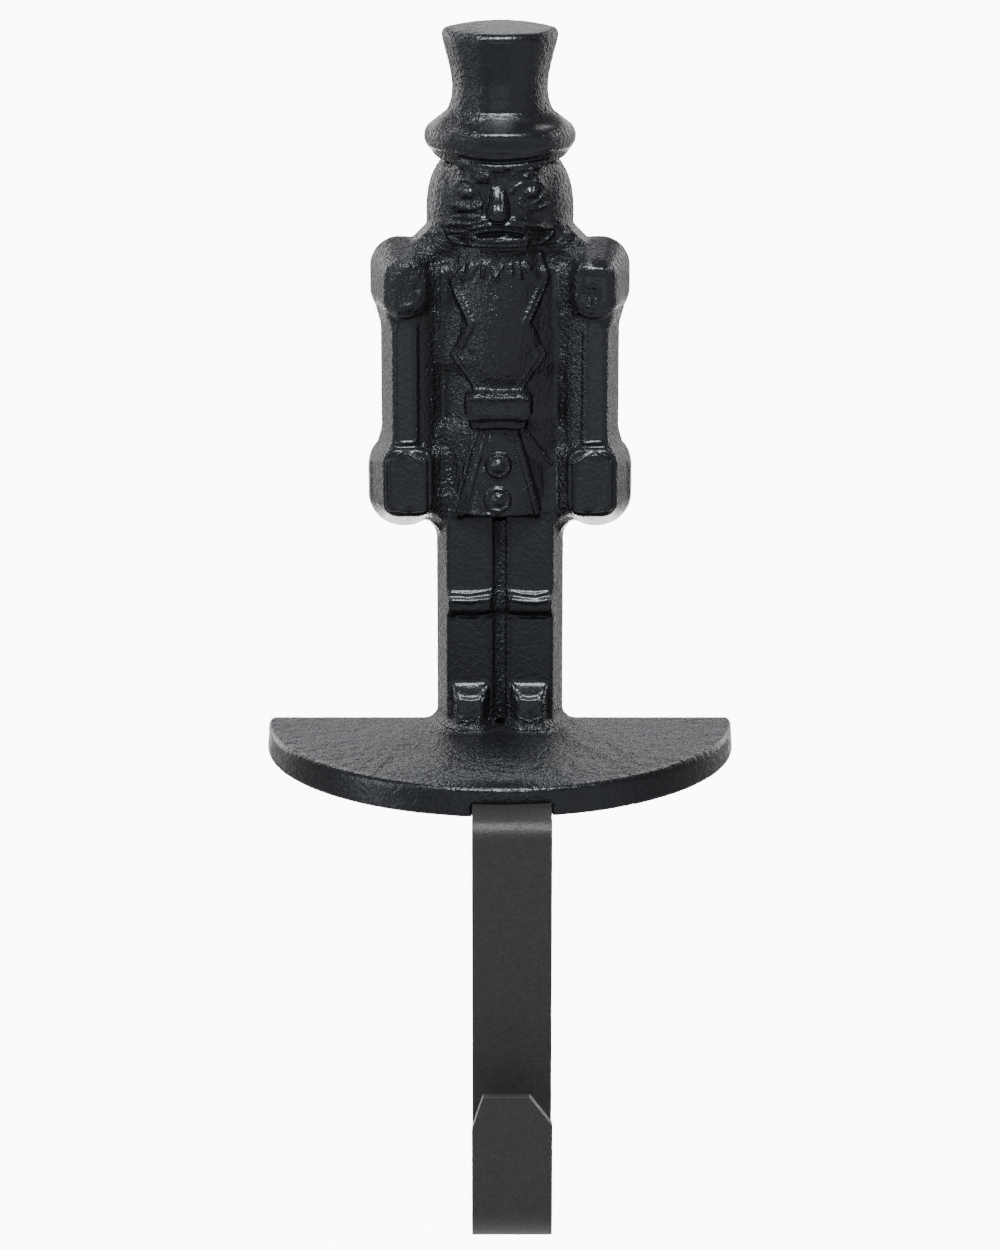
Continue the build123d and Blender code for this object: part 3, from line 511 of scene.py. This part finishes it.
def close_channel(mesh):
    """Brings the side walls of the channel under the plate up to the strip's edges."""
    edges = coordinates(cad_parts["hook_strip"].data)[:, 0]
    middle = (edges.min() + edges.max()) / 2
    co = coordinates(mesh)
    beyond = np.abs(co[:, 0] - middle) - (edges.max() - edges.min()) / 2
    share = (beyond > CHANNEL_GAP / 2) * (1 - smoothstep(CHANNEL_GAP, CHANNEL_GAP + 1.7, beyond))
    share *= 1 - smoothstep(CHANNEL_ROOF, CHANNEL_ROOF + 0.8, co[:, 2])
    co[:, 0] -= np.sign(co[:, 0] - middle) * share * CHANNEL_GAP
    set_coordinates(mesh, co)


def build_casting():
    obj = node_copy("nutcracker_casting", "casting_surface")
    relief = Relief(obj.data)
    relief.sweep()
    carve_hat(relief)
    carve_face(relief)
    carve_chest(relief)
    carve_shoulders(relief)
    carve_coat(relief)
    carve_hands(relief)
    carve_legs(relief)
    change = np.where(relief.inside, relief.depth - relief.cast, 0)
    target = relief.cast + blurred(change, 0.12)
    moved = smoothstep(0.02, 0.15, blurred(rolled(np.abs(change), 2 * GRID, 1), 0.2))
    within = np.where(rolled(relief.cast, 2 * GRID, -1) > OUTSIDE / 2, 1.0, 0.0)

    remesh(obj, VOXEL)
    co = coordinates(obj.data)
    x, z, ahead = co[:, 0], co[:, 2], -co[:, 1]
    shown = 1 - smoothstep(1.5, 3.0, np.abs(relief.at(relief.cast, x, z) - ahead))
    shown *= smoothstep(GRID_FOOT, GRID_FOOT + 0.6, z) * smoothstep(0.5, 2.5, ahead)
    shown *= smoothstep(0.6, 1.0, relief.at(within, x, z)) * relief.at(moved, x, z)
    co[:, 1] -= shown * (relief.at(target, x, z) - ahead)
    set_coordinates(obj.data, co)
    remesh(obj, FINE_VOXEL)

    triangles = sum(len(p.vertices) - 2 for p in obj.data.polygons)
    thin = obj.modifiers.new("thin", "DECIMATE")
    thin.ratio = CASTING_TRIANGLES / triangles
    thin.use_collapse_triangulate = True
    settle(obj)
    mesh = obj.data
    close_channel(mesh)
    mesh.shade_smooth()
    layer = mesh.attributes.new("sand", "FLOAT", "POINT")
    layer.data.foreach_set("value", grain_map(relief, coordinates(mesh), normals(mesh)))
    return obj


def build_strip():
    """The strip with its edges broken."""
    obj = node_copy("hook_strip", "strip_surface")
    bm = bmesh.new()
    bm.from_mesh(obj.data)
    bmesh.ops.dissolve_limit(bm, angle_limit=math.radians(0.4), verts=bm.verts, edges=bm.edges)
    bm.to_mesh(obj.data)
    bm.free()
    bevel = obj.modifiers.new("edges", "BEVEL")
    bevel.width = STRIP_EDGE * MM
    bevel.segments = 3
    bevel.limit_method = "ANGLE"
    bevel.angle_limit = math.radians(40)
    settle(obj)
    obj.data.shade_smooth()
    normal = obj.modifiers.new("normals", "WEIGHTED_NORMAL")
    normal.keep_sharp = True
    settle(obj)
    return obj


def noise(tree, place, scale, detail):
    """Noise over the object's own coordinates."""
    node = tree.nodes.new("ShaderNodeTexNoise")
    node.inputs["Scale"].default_value = scale
    node.inputs["Detail"].default_value = detail
    tree.links.new(place, node.inputs["Vector"])
    return node.outputs["Fac"]


def math_node(tree, operation, first, second):
    node = tree.nodes.new("ShaderNodeMath")
    node.operation = operation
    for socket, value in zip(node.inputs, (first, second)):
        if isinstance(value, float):
            socket.default_value = value
        else:
            tree.links.new(value, socket)
    return node.outputs["Value"]


def map_range(tree, value, start, end, low, high, interpolation="LINEAR"):
    """A value that runs from low at start to high at end."""
    node = tree.nodes.new("ShaderNodeMapRange")
    node.interpolation_type = interpolation
    node.inputs["From Min"].default_value = start
    node.inputs["From Max"].default_value = end
    node.inputs["To Min"].default_value = low
    node.inputs["To Max"].default_value = high
    tree.links.new(value, node.inputs["Value"])
    return node.outputs["Result"]


def coat_material(name, body, tint, grain_scale, grain_depth, roughness, gleam, sandy):
    """Satin black coat: dark body, soft gloss and grain, the grain following the sand where asked."""
    mat = bpy.data.materials.new(name)
    mat.use_nodes = True
    tree = mat.node_tree
    nodes, links = tree.nodes, tree.links
    shader = nodes["Principled BSDF"]
    shader.inputs["Specular IOR Level"].default_value = gleam
    shader.inputs["Specular Tint"].default_value = (*tint, 1)
    place = nodes.new("ShaderNodeTexCoord").outputs["Object"]

    coarse = noise(tree, place, grain_scale, 1.0)
    fine = noise(tree, place, grain_scale * 2.4, 1.0)
    height = math_node(tree, "ADD", coarse, math_node(tree, "MULTIPLY", fine, 0.6))
    if sandy:
        sand = nodes.new("ShaderNodeAttribute")
        sand.attribute_name = "sand"
        share = map_range(tree, sand.outputs["Fac"], 0.0, SAND_MOST, 0.12, SAND_MOST)
        height = math_node(tree, "MULTIPLY", height, share)
        rough = math_node(tree, "MAXIMUM", math_node(tree, "SUBTRACT", sand.outputs["Fac"], 1.0), 0.0)
        pits = math_node(tree, "MULTIPLY", noise(tree, place, grain_scale * 0.32, 1.0), rough)
        height = math_node(tree, "ADD", height, math_node(tree, "MULTIPLY", pits, 5.0))
    bump = nodes.new("ShaderNodeBump")
    bump.inputs["Strength"].default_value = 1.0
    bump.inputs["Distance"].default_value = grain_depth * MM
    links.new(height, bump.inputs["Height"])
    links.new(bump.outputs["Normal"], shader.inputs["Normal"])

    tone = nodes.new("ShaderNodeValToRGB")
    tone.color_ramp.elements[0].position = 0.3
    tone.color_ramp.elements[0].color = (*(0.77 * body * part for part in tint), 1)
    tone.color_ramp.elements[1].position = 0.75
    tone.color_ramp.elements[1].color = (*(1.33 * body * part for part in tint), 1)
    links.new(coarse, tone.inputs["Fac"])
    links.new(tone.outputs["Color"], shader.inputs["Base Color"])

    gloss = map_range(tree, fine, 0.3, 0.7, roughness - 0.04, roughness + 0.05)
    links.new(gloss, shader.inputs["Roughness"])
    return mat


def zinc_material():
    """Bright zinc with an uneven gloss."""
    mat = bpy.data.materials.new("bright_zinc")
    mat.use_nodes = True
    tree = mat.node_tree
    shader = tree.nodes["Principled BSDF"]
    shader.inputs["Metallic"].default_value = 1.0
    shader.inputs["Base Color"].default_value = (0.55, 0.55, 0.56, 1)
    place = tree.nodes.new("ShaderNodeTexCoord").outputs["Object"]
    gloss = map_range(tree, noise(tree, place, 900.0, 2.0), 0.0, 1.0, 0.25, 0.5)
    tree.links.new(gloss, shader.inputs["Roughness"])
    return mat


casting = build_casting()
casting_coat = coat_material(
    "casting_coat",
    body=0.0065,
    tint=(0.92, 0.98, 1.1),
    grain_scale=950.0,
    grain_depth=0.68,
    roughness=0.27,
    gleam=0.37,
    sandy=True,
)
casting.data.materials.append(casting_coat)
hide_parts("nutcracker_casting")
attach(casting, "root")

strip = build_strip()
strip_coat = coat_material(
    "strip_coat",
    body=0.018,
    tint=(1.0, 0.99, 1.03),
    grain_scale=1800.0,
    grain_depth=0.14,
    roughness=0.44,
    gleam=0.44,
    sandy=False,
)
strip.data.materials.append(strip_coat)
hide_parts("hook_strip")
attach(strip, "root")

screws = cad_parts["hook_screws"]
screws.data.materials.clear()
screws.data.materials.append(zinc_material())


# Pale floor below the hook, soft light and the camera: lengths in metres, powers in watts
FLOOR_LEVEL = -1.00
FLOOR_HALF = 18.0
FLOOR_GLOW = 0.24
FLOOR_LAMP_ENDS = (1.5, 3.0, 5.0, 8.5, 14.5)
FLOOR_LAMP_LIFT = 0.35
FLOOR_LAMP_POWER = 37.0
FLOOR_LAMP_SPREAD = 32.0
CAMERA_PLACE = (0.0, -0.89203, 0.28060)
CAMERA_DIP = 15.504
LENS = 100.0
SENSOR = 36.0


def build_floor():
    """A wide sheet of pale paper with a faint glow."""
    mesh = bpy.data.meshes.new("floor")
    corners = [(-1, -1), (1, -1), (1, 1), (-1, 1)]
    places = [(x * FLOOR_HALF, y * FLOOR_HALF, FLOOR_LEVEL) for x, y in corners]
    mesh.from_pydata(places, [], [(0, 1, 2, 3)])
    floor = new_object("floor", mesh)
    mat = bpy.data.materials.new("floor_paper")
    mat.use_nodes = True
    shader = mat.node_tree.nodes["Principled BSDF"]
    shader.inputs["Base Color"].default_value = (0.9, 0.9, 0.9, 1)
    shader.inputs["Roughness"].default_value = 0.9
    shader.inputs["Specular IOR Level"].default_value = 0.1
    shader.inputs["Emission Color"].default_value = (1, 1, 1, 1)
    shader.inputs["Emission Strength"].default_value = FLOOR_GLOW
    mesh.materials.append(mat)


def area_light(name, place, aim, width, height, power, spread=180.0):
    """A rectangular panel of light at a place, turned to its aim."""
    light = bpy.data.lights.new(name, "AREA")
    light.shape = "RECTANGLE"
    light.size = width
    light.size_y = height
    light.energy = power
    light.spread = math.radians(spread)
    obj = bpy.data.objects.new(name, light)
    scene.collection.objects.link(obj)
    obj.location = place
    toward = np.array(aim) - np.array(place)
    obj.rotation_euler = Vector(toward).to_track_quat("-Z", "Y").to_euler()


def build_world():
    """Bright behind and around the object, dim overhead, with a low glow on the camera's side."""
    world = bpy.data.worlds.new("studio")
    scene.world = world
    world.use_nodes = True
    tree = world.node_tree
    split = tree.nodes.new("ShaderNodeSeparateXYZ")
    tree.links.new(tree.nodes.new("ShaderNodeTexCoord").outputs["Generated"], split.inputs["Vector"])

    def fade(axis, start, end, low, high):
        return map_range(tree, split.outputs[axis], start, end, low, high, "SMOOTHSTEP")

    around = fade("Y", -0.4, 0.7, 0.09, 0.32)
    above = fade("Z", 0.4, 0.75, 1.0, 0.35)
    front = fade("Y", -0.2, -0.9, 0.0, 1.0)
    front = math_node(tree, "MULTIPLY", front, fade("Z", 0.0, 0.3, 1.0, 0.4))
    glow = math_node(tree, "MULTIPLY", fade("Z", -0.28, 0.0, 0.0, 0.3), front)
    strength = math_node(tree, "ADD", math_node(tree, "MULTIPLY", around, above), glow)
    background = tree.nodes["Background"]
    background.inputs["Color"].default_value = (1, 1, 1, 1)
    tree.links.new(strength, background.inputs["Strength"])


def build_camera():
    data = bpy.data.cameras.new("camera")
    data.lens = LENS
    data.sensor_width = SENSOR
    camera = bpy.data.objects.new("camera", data)
    scene.collection.objects.link(camera)
    camera.location = CAMERA_PLACE
    camera.rotation_euler = (math.radians(90 - CAMERA_DIP), 0, 0)
    scene.camera = camera


build_floor()
build_world()
area_light("left", (-0.8, 0.9, 0.3), (0, 0, 0.05), 0.5, 1.1, 7)
area_light("right", (0.8, 0.9, 0.3), (0, 0, 0.05), 0.5, 1.1, 5.6)
area_light("back", (0.0, 1.15, 0.95), (0, 0, 0.19), 0.8, 0.25, 2.4)
area_light("horizon", (0.0, 1.6, 0.48), (0, 0, 0.02), 2.2, 0.4, 9)
area_light("key", (0.0, -0.45, 0.95), (0, 0, 0.1), 0.6, 0.28, 21)
area_light("left_front", (-0.9, -0.5, 0.3), (0, 0, 0.1), 0.15, 0.9, 5)
area_light("fill", (0.9, -0.9, 0.0), (0, 0, 0.05), 0.8, 1.2, 1.2)
area_light("front_high", (0.0, -1.6, -0.04), (0, 0, 0.05), 1.3, 0.4, 2.2)
# lamps over the floor behind the object, each as wide as the camera's view there
for near, far in zip(FLOOR_LAMP_ENDS, FLOOR_LAMP_ENDS[1:]):
    width = 2 * (0.144 * (far + 0.9) + 0.12)
    middle = (near + far) / 2
    area_light(
        f"floor_{far:.0f}",
        (0, middle, FLOOR_LEVEL + FLOOR_LAMP_LIFT),
        (0, middle, FLOOR_LEVEL),
        width,
        far - near,
        FLOOR_LAMP_POWER * width * (far - near),
        FLOOR_LAMP_SPREAD,
    )
build_camera()
